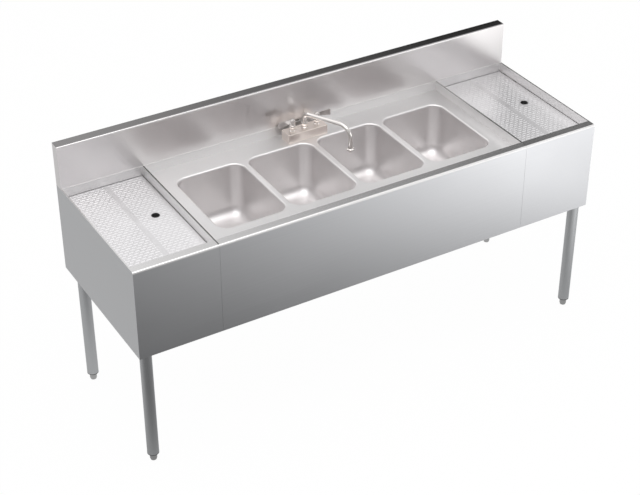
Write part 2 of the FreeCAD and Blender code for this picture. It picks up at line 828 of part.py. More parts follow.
def make_ring(name, radius, hole, thickness, hexagon=False):
    """A washer, or a nut where hexagon is true, standing on its own origin."""
    outer = doc.addObject("Part::Prism" if hexagon else "Part::Cylinder", name + "_outer")
    if hexagon:
        outer.Polygon = 6
    bind(outer, "Circumradius" if hexagon else "Radius", radius)
    bind(outer, "Height", thickness)
    inner = doc.addObject("Part::Cylinder", name + "_bore")
    bind(inner, "Radius", hole)
    bind(inner, "Height", thickness)
    ring = doc.addObject("Part::Cut", name)
    ring.Base = outer
    ring.Tool = inner
    return ring


def make_drain_rings():
    """Rubber gaskets and lock nuts that clamp the drains and drainboard outlets."""
    gaskets = []
    nuts = []
    under_bowl = DECK + " - bowl_depth - gauge - gasket_thickness"
    for number in BOWLS:
        gasket = make_ring("gasket_%d" % number, "drain_flange", "drain_radius", "gasket_thickness")
        place(gasket, bowl_x(number), RECESS_Y, under_bowl)
        gaskets.append(gasket)
        nut = make_ring("drain_nut_%d" % number, "drain_flange", "drain_radius", "nut_thickness", True)
        place(nut, bowl_x(number), RECESS_Y, under_bowl + " - nut_thickness")
        nuts.append(nut)
    for side, sign in SIDES.items():
        nut = make_ring("outlet_nut_" + side, "outlet_radius * 1.7", "outlet_radius", "nut_thickness", True)
        place(nut, "%s * %s" % (sign, BOARD_X), OUTLET_Y, BOARD_FLOOR + " - gauge - nut_thickness")
        nuts.append(nut)
    compound("drain_gaskets", gaskets)
    compound("drain_locknuts", nuts)


def make_outlet(side):
    """Short flanged pipe that drains one drainboard."""
    body = new_body(side + "_drainboard_outlet")
    revolve(body, [
        ("outlet_radius * 0.8", "-outlet_length"),
        ("outlet_tail_radius", "-outlet_length"),
        ("outlet_tail_radius", "-outlet_thread"),
        ("outlet_radius", "-outlet_thread"),
        ("outlet_radius", "0"),
        ("outlet_radius * 1.5", "0"),
        ("outlet_radius * 1.5", "gauge"),
        ("outlet_radius * 0.8", "gauge"),
    ])
    place(body, "%s * %s" % (SIDES[side], BOARD_X), OUTLET_Y, BOARD_FLOOR)


def make_seam_fasteners():
    """Bolts and nuts that join the aprons through their seam flanges."""
    members = []
    for side, sign in SIDES.items():
        for number, height in enumerate(BOLT_HEIGHTS, start=1):
            name = "%s_%d" % (side, number)
            head = doc.addObject("Part::Prism", "bolt_head_" + name)
            head.Polygon = 6
            bind(head, "Circumradius", "2 * bolt_radius")
            bind(head, "Height", "1.5 * bolt_radius")
            place(head, z="-1.5 * bolt_radius")
            shank = doc.addObject("Part::Cylinder", "bolt_shank_" + name)
            bind(shank, "Radius", "bolt_radius")
            bind(shank, "Height", "2 * gauge + seam_gap + 2.5 * bolt_radius")
            bolt = doc.addObject("Part::Fuse", "bolt_" + name)
            bolt.Base = head
            bolt.Tool = shank
            nut = make_ring("nut_" + name, "2 * bolt_radius", "bolt_radius", "1.8 * bolt_radius", True)
            outer = "%s * (%s + gauge + seam_gap)" % (sign, SEAM)
            inner = "%s * (%s - gauge)" % (sign, SEAM)
            for item, x in ((bolt, outer), (nut, inner)):
                inward = FreeCAD.Vector(-float(sign), 0, 0)
                item.Placement.Rotation = FreeCAD.Rotation(FreeCAD.Vector(0, 0, 1), inward)
                place(item, x, BOLT_Y, height)
                members.append(item)
    compound("seam_fasteners", members)


# ---------------------------------------------------------------- faucet
def make_faucet_body():
    """Block that stands on the deck, bored for two valves and the spout."""
    body = new_body("faucet_body")
    block = new_sketch(body, "XY_Plane")
    rectangle(block, "-faucet_width / 2", "faucet_width / 2", "-faucet_depth / 2", "faucet_depth / 2")
    pad(body, block, "faucet_height")
    round_edges(body, "gauge * 2", is_upright)
    round_edges(body, "gauge", is_level_at(value("faucet_height")))
    bores = new_sketch(body, "XY_Plane", "faucet_height")
    for sign in SIDES.values():
        circle(bores, sign + " * valve_spacing / 2", "0", "cartridge_radius")
    pocket(body, bores, "faucet_height - bore_floor")
    middle = new_sketch(body, "XY_Plane", "faucet_height")
    circle(middle, "0", "0", "spout_radius + running_gap")
    pocket(body, middle, "faucet_height - bore_floor")
    inlets = new_sketch(body, "XY_Plane")
    for sign in SIDES.values():
        circle(inlets, sign + " * valve_spacing / 2", "0", "shank_radius * 0.7")
    pocket(body, inlets, "bore_floor", along_normal=True)
    waterway = new_sketch(body, "YZ_Plane", "-valve_spacing / 2")
    circle(waterway, "0", "faucet_height / 2", "spout_radius / 2")
    pocket(body, waterway, "valve_spacing", along_normal=True)
    place(body, "basin_shift", FAUCET_Y, DECK)


def at_valve(body, sign, mirrored=False):
    """Stand a piece on one valve's axis, turned about for the left side if asked."""
    if mirrored and sign == "-1":
        body.Placement.Rotation = FreeCAD.Rotation(FreeCAD.Vector(0, 0, 1), 180)
    place(body, "basin_shift + %s * valve_spacing / 2" % sign, FAUCET_Y, DECK)


def make_valve(name, sign):
    """Cartridge, bonnet, stem, lever handle and its screw, for hot or cold."""
    cartridge = new_body(name + "_cartridge")
    revolve(cartridge, [
        ("valve_stem + running_gap", "bore_floor"),
        ("cartridge_radius", "bore_floor"),
        ("cartridge_radius", "faucet_height + gauge"),
        ("valve_stem + running_gap", "faucet_height + gauge"),
    ])
    bonnet = new_body(name + "_bonnet")
    top = "(faucet_height + bonnet_height)"
    revolve(bonnet, [
        ("cartridge_radius", "faucet_height"),
        ("cartridge_radius * 1.25", "faucet_height"),
        ("cartridge_radius * 1.25", "faucet_height + 2 * gauge"),
        ("cartridge_radius * 0.95", "faucet_height + 3 * gauge"),
        ("cartridge_radius * 0.95", "faucet_height + bonnet_height * 0.5"),
        ("cartridge_radius * 1.35", top + " - 2 * gauge"),
        ("cartridge_radius * 1.35", top),
        ("valve_stem + running_gap", top),
        ("valve_stem + running_gap", "faucet_height + gauge"),
        ("cartridge_radius", "faucet_height + gauge"),
    ])
    stem = new_body(name + "_stem")
    revolve(stem, [
        ("0", "bore_floor + gauge"),
        ("valve_stem", "bore_floor + gauge"),
        ("valve_stem", "lever_top - 3 * gauge"),
        ("0", "lever_top - 3 * gauge"),
    ])
    handle = new_body(name + "_handle")
    foot = "(%s + 0.5)" % top
    revolve(handle, [
        ("valve_stem", foot),
        ("hub_radius * 0.9", foot),
        ("hub_radius", foot + " + 2 * gauge"),
        ("hub_radius", "lever_top - 2 * gauge"),
        ("hub_radius * 0.8", "lever_top"),
        ("valve_stem * 0.7", "lever_top"),
        ("valve_stem * 0.7", "lever_top - 3 * gauge"),
        ("valve_stem", "lever_top - 3 * gauge"),
    ])
    blade = new_sketch(handle, "XZ_Plane", "-blade_thickness / 2")
    polygon(blade, [
        ("hub_radius * 0.8", "lever_top - 2 * gauge - lever_root"),
        ("lever_length", "lever_top - lever_tip"),
        ("lever_length", "lever_top"),
        ("hub_radius * 0.8", "lever_top - 0.5 * gauge"),
    ])
    pad(handle, blade, "blade_thickness")
    reach = value("lever_length")

    def tip(edge):
        box = edge.BoundBox
        return abs(box.XMin - reach) < 1e-4 and box.YLength > 1 and box.ZLength < 1e-6
    round_edges(handle, "2 * gauge", tip)
    screw = new_body(name + "_handle_screw")
    revolve(screw, [
        ("0", "lever_top - 3 * gauge"),
        ("valve_stem * 0.7", "lever_top - 3 * gauge"),
        ("valve_stem * 0.7", "lever_top"),
        ("valve_stem * 1.2", "lever_top"),
        ("valve_stem * 1.1", "lever_top + gauge"),
        ("0", "lever_top + gauge"),
    ])
    for piece in (cartridge, bonnet, stem, handle, screw):
        at_valve(piece, sign, mirrored=True)


def make_spout_nut():
    """Nut that keeps the foot of the spout in the faucet body and lets it turn."""
    body = new_body("spout_nut")
    bore = "spout_radius + running_gap"
    top = "(faucet_height + bonnet_height)"
    revolve(body, [
        (bore, "faucet_height"),
        ("spout_radius * 1.5", "faucet_height"),
        ("spout_radius * 1.5", "faucet_height + 2 * gauge"),
        ("spout_radius * 1.3", "faucet_height + 3 * gauge"),
        ("spout_radius * 1.3", "faucet_height + bonnet_height * 0.5"),
        ("spout_radius * 1.7", top + " - 2 * gauge"),
        ("spout_radius * 1.7", top),
        (bore, top),
    ])
    place(body, "basin_shift", FAUCET_Y, DECK)


def make_spout():
    """Bent tube: up out of the nut, a long nearly level run, then down over a bowl."""
    body = new_body("spout")
    spine = new_sketch(body, "XZ_Plane")
    foot = value("bore_floor") + value("gauge")
    start = value("spout_start") - deck_height()
    corner = value("spout_corner") - deck_height()
    end = value("spout_end") - deck_height()
    reach = value("spout_reach")
    small = value("spout_first_bend")
    large = value("spout_last_bend")
    vector = FreeCAD.Vector
    spine.addGeometry(Part.LineSegment(vector(0, foot, 0), vector(0, start - small, 0)), False)
    spine.addGeometry(arc_at_corner(vector(0, start - small, 0), vector(small, start + 1, 0),
                                    vector(0.3 * small, start - 0.3 * small, 0)), False)
    run_end = vector(reach - large, corner - 3, 0)
    spine.addGeometry(Part.LineSegment(vector(small, start + 1, 0), run_end), False)
    spine.addGeometry(arc_at_corner(vector(reach - large, corner - 3, 0), vector(reach, corner - large, 0),
                                    vector(reach - 0.3 * large, corner - 0.3 * large, 0)), False)
    spine.addGeometry(Part.LineSegment(vector(reach, corner - large, 0), vector(reach, end, 0)), False)
    for kind, geometry, point, text in (
        ("DistanceX", 0, 1, "0"),
        ("DistanceY", 0, 1, "bore_floor + gauge"),
        ("DistanceX", 4, 2, "spout_reach"),
        ("DistanceY", 4, 2, "spout_end - " + DECK),
    ):
        hold(spine, kind, geometry, point, text)
    constraint = Sketcher.Constraint
    spine.addConstraint(constraint("Vertical", 0))
    spine.addConstraint(constraint("Vertical", 4))
    for first, second, near, far in ((0, 1, 2, 2), (1, 2, 1, 1), (2, 3, 2, 2), (3, 4, 1, 1)):
        spine.addConstraint(constraint("Tangent", first, near, second, far))
    for arc, word in ((1, "spout_first_bend"), (3, "spout_last_bend")):
        number = spine.addConstraint(constraint("Radius", arc, value(word)))
        bind(spine, "Constraints[%d]" % number, word)
    for x, height in (("0", "spout_start"), ("spout_reach", "spout_corner")):
        point = spine.addGeometry(Part.Point(vector(1, start, 0)), True)
        hold(spine, "DistanceX", point, 1, x)
        hold(spine, "DistanceY", point, 1, height + " - " + DECK)
        spine.addConstraint(constraint("PointOnObject", point, 1, 2))
    doc.recompute()
    ring = new_sketch(body, "XY_Plane", "bore_floor + gauge")
    circle(ring, "0", "0", "spout_radius")
    circle(ring, "0", "0", "spout_bore")
    tube = body.newObject("PartDesign::AdditivePipe", "spout_tube")
    tube.Profile = ring
    tube.Spine = (spine, [])
    body.Placement.Rotation = FreeCAD.Rotation(FreeCAD.Vector(0, 0, 1), value("spout_angle"))
    place(body, "basin_shift", FAUCET_Y, DECK)


def deck_height():
    """Height of the recessed deck above the floor."""
    return value("rim_height") - value("recess_depth")


def arc_at_corner(start, end, middle):
    """Arc of a circle through three points."""
    return Part.Arc(start, middle, end)


def make_aerator():
    """Flanged nozzle on the end of the spout."""
    body = new_body("aerator")
    revolve(body, [
        ("spout_bore * 0.7", "-2 * spout_radius"),
        ("spout_radius * 0.8", "-2 * spout_radius"),
        ("spout_radius * 0.9", "-spout_radius"),
        ("aerator_radius", "-spout_radius * 0.75"),
        ("aerator_radius", "-spout_radius * 0.25"),
        ("spout_radius * 1.15", "0"),
        ("spout_radius * 1.15", "spout_radius * 0.75"),
        ("spout_radius", "spout_radius * 0.75"),
        ("spout_radius", "0"),
        ("spout_bore * 0.7", "0"),
    ])
    turn = FreeCAD.Rotation(FreeCAD.Vector(0, 0, 1), value("spout_angle"))
    tip = turn.multVec(FreeCAD.Vector(value("spout_reach"), 0, 0))
    body.Placement.Rotation = turn
    place(body, "basin_shift + %.6f * spout_reach" % (tip.x / tip.Length),
          FAUCET_Y + " + (%.6f) * spout_reach" % (tip.y / tip.Length), "spout_end")


def make_shanks():
    """Screwed inlet pipes under the faucet, and the nuts that clamp it to the deck."""
    pipes = []
    nuts = []
    for side, sign in SIDES.items():
        pipe = doc.addObject("PartDesign::Body", "shank_" + side)
        revolve(pipe, [
            ("shank_radius * 0.7", "-shank_length"),
            ("shank_tail_radius", "-shank_length"),
            ("shank_tail_radius", "-shank_thread"),
            ("shank_radius", "-shank_thread"),
            ("shank_radius", "0"),
            ("shank_radius * 0.7", "0"),
        ])
        at_valve(pipe, sign)
        pipes.append(pipe)
        nut = make_ring("shank_nut_" + side, "1.6 * shank_radius", "shank_radius", "nut_thickness", True)
        at_valve(nut, sign)
        bind(nut, "Placement.Base.z", DECK + " - gauge - nut_thickness")
        nuts.append(nut)
    compound("supply_shanks", pipes)
    compound("shank_locknuts", nuts)


# ---------------------------------------------------------------- build
make_centre_deck()
for number in BOWLS:
    make_bowl(number)
    make_drain(number)
make_drain_rings()
for side in SIDES:
    make_drainboard(side)
    make_insert(side)
    make_outlet(side)
    make_splash_cap(side)
    make_side_panel(side)
    make_leg_channel(side)
    for row in LEG_ROWS:
        make_gusset(row, side)
        make_leg(row, side)
        make_foot(row, side)
make_leg_plugs()
make_set_screws()
make_backsplash()
left_seam = ENDS["left"][1]
right_seam = ENDS["right"][0]
hem_end = "(%s - gauge - hem)" % END
make_apron("left", ENDS["left"], ("-" + hem_end, left_seam), [left_seam + " - gauge"])
make_apron("centre", ("-" + SEAM, SEAM), ("-" + SEAM, SEAM), ["-" + SEAM, SEAM + " - gauge"])
make_apron("right", ENDS["right"], (right_seam, hem_end), [right_seam])
make_front_rail()
make_rear_rail()
make_seam_fasteners()
make_faucet_body()
make_valve("hot", "-1")
make_valve("cold", "1")
make_spout_nut()
make_spout()
make_aerator()
make_shanks()
doc.recompute()

# ---------------------------------------------------------------- check and write
for item in doc.Objects:
    if "Invalid" in item.State or "Error" in item.State:
        raise RuntimeError("%s failed: %s" % (item.Label, item.State))
os.makedirs("parts", exist_ok=True)
for piece in pieces:
    shape = piece.Shape
    if shape.isNull() or not shape.isValid() or not shape.Solids:
        raise RuntimeError("%s has no sound solid" % piece.Label)
    shape.exportStep("parts/%s.step" % piece.Label)
print("%d sub-parts written" % len(pieces))
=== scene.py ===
# %% [markdown]
# # An underbar sink in brushed sheet steel
# The sink is a long cabinet of folded sheet: a recessed deck with four drawn bowls, a slotted
# drainboard at each end, a splash behind and a skirt in front. The solids come from the packed
# part; this lesson gives them their finish, adds what is too fine for the solids, and lights them.

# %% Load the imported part
import math

import bmesh
import bpy
from mathutils import Matrix, Vector


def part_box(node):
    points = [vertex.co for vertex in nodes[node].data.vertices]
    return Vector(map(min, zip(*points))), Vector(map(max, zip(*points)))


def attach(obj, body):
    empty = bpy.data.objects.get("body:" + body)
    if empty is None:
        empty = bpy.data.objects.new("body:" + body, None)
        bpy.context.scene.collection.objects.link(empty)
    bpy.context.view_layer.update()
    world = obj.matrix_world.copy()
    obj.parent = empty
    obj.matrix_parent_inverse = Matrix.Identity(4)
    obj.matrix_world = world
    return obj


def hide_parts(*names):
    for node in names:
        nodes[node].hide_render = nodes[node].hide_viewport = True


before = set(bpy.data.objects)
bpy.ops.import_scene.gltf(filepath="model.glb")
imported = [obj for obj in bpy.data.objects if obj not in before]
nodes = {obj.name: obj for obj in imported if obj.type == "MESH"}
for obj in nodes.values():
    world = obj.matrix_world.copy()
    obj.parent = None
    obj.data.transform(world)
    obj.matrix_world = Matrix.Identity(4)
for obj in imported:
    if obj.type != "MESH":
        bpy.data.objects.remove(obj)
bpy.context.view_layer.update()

print(len(nodes), "solids loaded")

# %% [markdown]
# ## The camera
# The photograph was taken from high on the left with a long lens. The lens, place and turn below
# were worked out from the cabinet's straight edges, which were given the lengths of a stock sink.

# %% Camera
PHOTO_WIDTH = 640
FOCAL_PIXELS = 1533.046
SENSOR_MM = 36.0
CAMERA_PLACE = (-2.4009, -3.9522, 3.5347)
# Degrees: how far the camera looks down, and how far it turns to the right of the sink's depth.
CAMERA_DOWN = 34.062
CAMERA_RIGHT = 30.667
camera_data = bpy.data.cameras.new("photo_camera")
camera_data.sensor_width = SENSOR_MM
camera_data.lens = FOCAL_PIXELS * SENSOR_MM / PHOTO_WIDTH
camera = bpy.data.objects.new("photo_camera", camera_data)
camera.location = CAMERA_PLACE
camera.rotation_euler = (math.radians(90 - CAMERA_DOWN), 0.0, math.radians(-CAMERA_RIGHT))
bpy.context.scene.collection.objects.link(camera)
bpy.context.scene.camera = camera
bpy.context.scene.view_settings.view_transform = "Standard"
print("lens", round(camera_data.lens, 1), "mm")

# %% [markdown]
# ## Node helpers
# Every finish is a small tree of nodes. A few helpers keep those trees short: they add a node, join
# two sockets, read stretched noise, carry a value from one range to another and do one sum.

# %% Node helpers
NOISE_SPREAD = (0.3, 0.7)


def add(tree, kind, **values):
    """Add a node of one kind to a tree and set its properties."""
    node = tree.nodes.new(kind)
    for name, value in values.items():
        setattr(node, name, value)
    return node


def join(tree, source, target):
    """Join an output socket to an input socket."""
    tree.links.new(source, target)


def scaled_noise(tree, scale, detail=2.0, roughness=0.5):
    """Noise on the object's own coordinates, stretched by a scale along each axis."""
    place = add(tree, "ShaderNodeTexCoord")
    stretch = add(tree, "ShaderNodeMapping")
    stretch.inputs["Scale"].default_value = scale
    noise = add(tree, "ShaderNodeTexNoise")
    noise.inputs["Scale"].default_value = 1.0
    noise.inputs["Detail"].default_value = detail
    noise.inputs["Roughness"].default_value = roughness
    join(tree, place.outputs["Object"], stretch.inputs["Vector"])
    join(tree, stretch.outputs["Vector"], noise.inputs["Vector"])
    return noise.outputs["Fac"]


def remap(tree, source, low, high, from_low=NOISE_SPREAD[0], from_high=NOISE_SPREAD[1]):
    """Carry a value, which by default has the usual spread of noise, to the range low to high."""
    node = add(tree, "ShaderNodeMapRange")
    node.inputs["From Min"].default_value = from_low
    node.inputs["From Max"].default_value = from_high
    node.inputs["To Min"].default_value = low
    node.inputs["To Max"].default_value = high
    join(tree, source, node.inputs["Value"])
    return node.outputs["Result"]


def maths(tree, operation, first, second):
    """One sum on two sockets or numbers."""
    node = add(tree, "ShaderNodeMath", operation=operation)
    for slot, value in enumerate((first, second)):
        if isinstance(value, (int, float)):
            node.inputs[slot].default_value = value
        else:
            join(tree, value, node.inputs[slot])
    return node.outputs[0]


print("helpers ready")

# %% [markdown]
# ## Brushed steel
# Sheet steel is brushed along its length with an abrasive belt. That leaves fine parallel lines:
# the tone and the gloss change quickly across the grain and hardly at all along it. So the noise
# that drives colour, roughness and bump is stretched a few hundred times along the grain.
# A second, slow noise gives the faint clouds that handling and cleaning leave on such sheet. The rim
# and the top of the splash are rubbed most, so above their height the finish is glossier. It is also
# painted darker there: a painted shade that stands in for the dark room these upper edges reflect.

# %% Brushed steel
GRAIN_ALONG = 1.2
GRAIN_ACROSS = 420.0
CLOUD_SCALE = 2.2
BLEND_SPREAD = (0.2, 0.8)
BUMP_HEIGHT = 0.0004
# In metres: how far the glossier band with its painted shade reaches down from an upper edge, and over what
# height it fades.
WORN_AND_SHADED_BAND = 0.001
WORN_AND_SHADED_FADE = 0.0006


def grain_scale(direction):
    """Stretch for noise whose lines run along one axis."""
    return tuple(GRAIN_ALONG if axis == direction else GRAIN_ACROSS for axis in "XYZ")


def above_height(tree, height, low, high):
    """A value that steps from low to high at one height of the object."""
    place = add(tree, "ShaderNodeTexCoord")
    split = add(tree, "ShaderNodeSeparateXYZ")
    join(tree, place.outputs["Object"], split.inputs[0])
    return remap(tree, split.outputs["Z"], low, high, height - WORN_AND_SHADED_FADE, height)


def brushed(name, tone, rough, direction="X", depth=0.06, spread=0.05, anisotropy=0.45, vary=0.05):
    """A brushed metal finish with its grain along one axis."""
    material = bpy.data.materials.new(name)
    material.use_nodes = True
    tree = material.node_tree
    shader = tree.nodes["Principled BSDF"]
    shader.inputs["Metallic"].default_value = 1.0
    shader.inputs["Anisotropic"].default_value = anisotropy
    lines = scaled_noise(tree, grain_scale(direction), detail=3.0)
    clouds = scaled_noise(tree, (CLOUD_SCALE,) * 3, detail=3.0)
    dark = tuple(channel * (1 - spread) for channel in tone) + (1.0,)
    light = tuple(min(1.0, channel * (1 + spread)) for channel in tone) + (1.0,)
    mix = add(tree, "ShaderNodeMix", data_type="RGBA")
    mix.inputs[6].default_value = dark
    mix.inputs[7].default_value = light
    # Lines and clouds each give half of one value, which sets both the tone and the gloss.
    together = add(tree, "ShaderNodeMath", operation="ADD", use_clamp=True)
    join(tree, remap(tree, lines, 0.0, 0.5), together.inputs[0])
    join(tree, remap(tree, clouds, 0.0, 0.5), together.inputs[1])
    join(tree, together.outputs[0], mix.inputs[0])
    join(tree, mix.outputs[2], shader.inputs["Base Color"])
    gloss = remap(tree, together.outputs[0], rough - vary, rough + vary, *BLEND_SPREAD)
    join(tree, gloss, shader.inputs["Roughness"])
    bump = add(tree, "ShaderNodeBump")
    bump.inputs["Strength"].default_value = depth
    bump.inputs["Distance"].default_value = BUMP_HEIGHT
    join(tree, lines, bump.inputs["Height"])
    join(tree, bump.outputs["Normal"], shader.inputs["Normal"])
    return material


def wear_gloss_and_painted_shade(material, height, gloss_share, painted_shade_share):
    """Above one height, where hands and cloths rub, lower the roughness; also lower the tone there, as
    painted shade.
    """
    tree = material.node_tree
    shader = tree.nodes["Principled BSDF"]
    gloss = shader.inputs["Roughness"].links[0].from_socket
    worn = maths(tree, "MULTIPLY", gloss, above_height(tree, height, 1.0, gloss_share))
    join(tree, worn, shader.inputs["Roughness"])
    tone = shader.inputs["Base Color"].links[0].from_socket
    dim = add(tree, "ShaderNodeVectorMath", operation="SCALE")
    join(tree, tone, dim.inputs[0])
    join(tree, above_height(tree, height, 1.0, painted_shade_share), dim.inputs["Scale"])
    join(tree, dim.outputs[0], shader.inputs["Base Color"])


RIM_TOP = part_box("centre_deck")[1].z
SPLASH_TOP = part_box("backsplash")[1].z
sheet_long = brushed("sheet_grain_along", (0.61, 0.615, 0.63), 0.36)
deck_steel = brushed("deck_steel", (0.79, 0.78, 0.78), 0.42,
                     depth=0.02, spread=0.03, anisotropy=0.3, vary=0.03)
splash_steel = brushed("splash_steel", (0.79, 0.77, 0.77), 0.28,
                       depth=0.002, spread=0.01, anisotropy=0.2, vary=0.006)
# Along these upper edges the gloss is from rubbing; the lower tone is painted shade, strongest on the
# splash top.
wear_gloss_and_painted_shade(deck_steel, RIM_TOP - WORN_AND_SHADED_BAND, gloss_share=0.5, painted_shade_share=0.9)
wear_gloss_and_painted_shade(splash_steel, SPLASH_TOP - WORN_AND_SHADED_BAND, gloss_share=0.5, painted_shade_share=0.33)
sheet_upright = brushed("sheet_grain_upright", (0.60, 0.605, 0.615), 0.38, "Z")
print("four sheets, two ways of grain")

# %% [markdown]
# ## Drawn steel, plating, brass, plastic and rubber
# The bowls are drawn from sheet and rubbed satin afterwards, so they have no straight grain, only
# a soft mottled gloss. The levers and the spout are plated and very smooth, with faint waves, and
# the block under them is plated with a softer gloss. The hidden fittings are turned brass, the
# frame under the deck is coated with zinc, the leg plugs are moulded and the gaskets are rubber.

# %% Other finishes
PATCH_SCALE = 6.0
GLOSS_SPREAD = 0.04
LEAST_ROUGHNESS = 0.02


def satin(name, tone, rough, metallic=1.0, mottle=60.0, depth=0.05, spread=0.04):
    """A finish without grain: slow tone change and a fine mottle in gloss and height."""
    material = bpy.data.materials.new(name)
    material.use_nodes = True
    tree = material.node_tree
    shader = tree.nodes["Principled BSDF"]
    shader.inputs["Metallic"].default_value = metallic
    fine = scaled_noise(tree, (mottle,) * 3, detail=4.0, roughness=0.6)
    slow = scaled_noise(tree, (PATCH_SCALE,) * 3)
    dark = tuple(channel * (1 - spread) for channel in tone) + (1.0,)
    light = tuple(min(1.0, channel * (1 + spread)) for channel in tone) + (1.0,)
    mix = add(tree, "ShaderNodeMix", data_type="RGBA")
    mix.inputs[6].default_value = dark
    mix.inputs[7].default_value = light
    join(tree, remap(tree, slow, 0.0, 1.0), mix.inputs[0])
    join(tree, mix.outputs[2], shader.inputs["Base Color"])
    smoothest = max(LEAST_ROUGHNESS, rough - GLOSS_SPREAD)
    join(tree, remap(tree, fine, smoothest, rough + GLOSS_SPREAD), shader.inputs["Roughness"])
    bump = add(tree, "ShaderNodeBump")
    bump.inputs["Strength"].default_value = depth
    bump.inputs["Distance"].default_value = BUMP_HEIGHT
    join(tree, fine, bump.inputs["Height"])
    join(tree, bump.outputs["Normal"], shader.inputs["Normal"])
    return material


drawn_steel = satin("drawn_bowl_steel", (0.82, 0.80, 0.80), 0.44, mottle=220.0, depth=0.015, spread=0.03)
plating = satin("faucet_plating", (0.80, 0.77, 0.75), 0.07, mottle=25.0, depth=0.02)
warm_plating = satin("faucet_block_plating", (0.87, 0.79, 0.74), 0.31, mottle=40.0, depth=0.03)
leg_steel = brushed("leg_tube_steel", (0.56, 0.57, 0.58), 0.50, "Z")
turned_steel = satin("turned_steel", (0.50, 0.50, 0.50), 0.25)
turned_brass = satin("turned_brass", (0.72, 0.55, 0.28), 0.28)
zinc = satin("zinc_coat", (0.58, 0.59, 0.60), 0.45, metallic=0.85, mottle=18.0, spread=0.10)
plug_plastic = satin("plug_plastic", (0.06, 0.06, 0.065), 0.45, metallic=0.0)
gasket_rubber = satin("gasket_rubber", (0.03, 0.03, 0.03), 0.7, metallic=0.0)
print("materials in the file:", len(bpy.data.materials))

# %% [markdown]
# ## Dressing the solids
# Each solid keeps its shape and gets a finish in its material slots. Folded sheet is brushed along
# the sink, and the end skirts are brushed upright.

# %% Dress the solids
# Each entry is the start of a name. The first one that fits counts, so longer starts come first.
FINISHES = {
    "left_drainboard_outlet": turned_brass,
    "right_drainboard_outlet": turned_brass,
    "bowl_": drawn_steel,
    "drain_gaskets": gasket_rubber,
    "drain_locknuts": turned_brass,
    "drain_": turned_steel,
    "faucet_body": warm_plating,
    "foot_": turned_steel,
    "gusset_": zinc,
    "front_rail": zinc,
    "rear_rail": zinc,
    "left_leg_channel": zinc,
    "right_leg_channel": zinc,
    "leg_plugs": plug_plastic,
    "leg_set_screws": turned_steel,
    "leg_": leg_steel,
    "seam_fasteners": turned_steel,
    "left_side_panel": sheet_upright,
    "right_side_panel": sheet_upright,
    "centre_deck": deck_steel,
    "left_drainboard": deck_steel,
    "right_drainboard": deck_steel,
    "backsplash": splash_steel,
    "left_splash_cap": splash_steel,
    "right_splash_cap": splash_steel,
    "hot_cartridge": turned_brass,
    "cold_cartridge": turned_brass,
    "hot_stem": turned_brass,
    "cold_stem": turned_brass,
    "supply_shanks": turned_brass,
    "shank_locknuts": turned_brass,
    "hot_": plating,
    "cold_": plating,
    "spout": plating,
    "aerator": plating,
}


def finish_for(name):
    """The finish of one solid: the first entry that its name starts with."""
    for start, material in FINISHES.items():
        if name.startswith(start):
            return material
    return sheet_long


for name, solid in nodes.items():
    material = finish_for(name)
    if not solid.data.materials:
        solid.data.materials.append(material)
    for slot in range(len(solid.data.materials)):
        solid.data.materials[slot] = material
print("solids dressed:", len(nodes))

# %% [markdown]
# ## The slotted inserts
# Each drainboard holds a lift-out plate with several hundred short slots. A tongue is pressed down
# in each slot, so that drops run off through it. Cutting them by hand would take a modifier for every
# slot, so Geometry Nodes repeat one small cutter and one tongue on a grid, with every second row moved
# along by half a pitch and closed by a short slot at each end. Points near the finger hole are left
# out, which keeps a plain land round it.
# The plate's size is read from the solid that it stands for.

# %% Sizes of the slots
# Lengths are in metres, and places are measured from the middle of the plate.
SLOT_LENGTH = 0.0175
SHORT_SLOT = 0.0069
SLOT_WIDTH = 0.0050
SLOT_PITCH = 0.0212
ROW_PITCH = 0.0127
ROWS = 38
COLUMNS = 6
SHEET = 0.0015
OPEN_BELOW = 0.01
TONGUE_SLOPE = 13.0
TONGUE_REACH = 0.48
TONGUE_OVERLAP = 0.58
TONGUE_THINNESS = 0.2
TONGUE_DROP = 0.25
CUT_DEPTH = 0.004
FINGER_RADIUS = 0.014
FINGER_LAND = 0.0235
FINGER_PLACE = (0.075, 0.0125)
STRIP_MIDDLE = 0.0058
STRIP_HALF = 0.0098
FIRST_ROW = -0.2117
GROMMET_WALL = 0.0018
GROMMET_DEPTH = 0.016
GROMMET_LIP = 0.0008
print("slots in each insert, before the finger hole:", ROWS * COLUMNS * 2 + ROWS)

# %% Mesh helpers
def mesh_object(name, mesh, material=None):
    """Link a mesh as an object at the origin, with one material."""
    thing = bpy.data.objects.new(name, mesh)
    bpy.context.scene.collection.objects.link(thing)
    if material is not None:
        mesh.materials.clear()
        mesh.materials.append(material)
    return thing


def mesh_of(name, work):
    """Turn a bmesh into a mesh and let the bmesh go."""
    mesh = bpy.data.meshes.new(name)
    bmesh.ops.recalc_face_normals(work, faces=work.faces)
    work.to_mesh(mesh)
    work.free()
    return mesh


def add_box(work, low, high):
    """Add a closed box between two corners to a bmesh."""
    made = bmesh.ops.create_cube(work, size=1.0)["verts"]
    middle = (Vector(low) + Vector(high)) / 2
    size = Vector(high) - Vector(low)
    for vert in made:
        vert.co = middle + Vector(vert.co[axis] * size[axis] for axis in range(3))
    return made


def capsule_outline(length, width, steps=4):
    """Points round a slot with half-round ends, anticlockwise."""
    radius = width / 2
    reach = length / 2 - radius
    points = []
    for side, start in ((1, -90), (-1, 90)):
        for step in range(steps + 1):
            turn = math.radians(start + 180 * step / steps)
            points.append((side * reach + radius * math.cos(turn), radius * math.sin(turn)))
    return points


def circle_points(middle, radius, count=40):
    """Points round a circle, anticlockwise."""
    turns = [2 * math.pi * step / count for step in range(count)]
    return [(middle[0] + radius * math.cos(turn), middle[1] + radius * math.sin(turn)) for turn in turns]


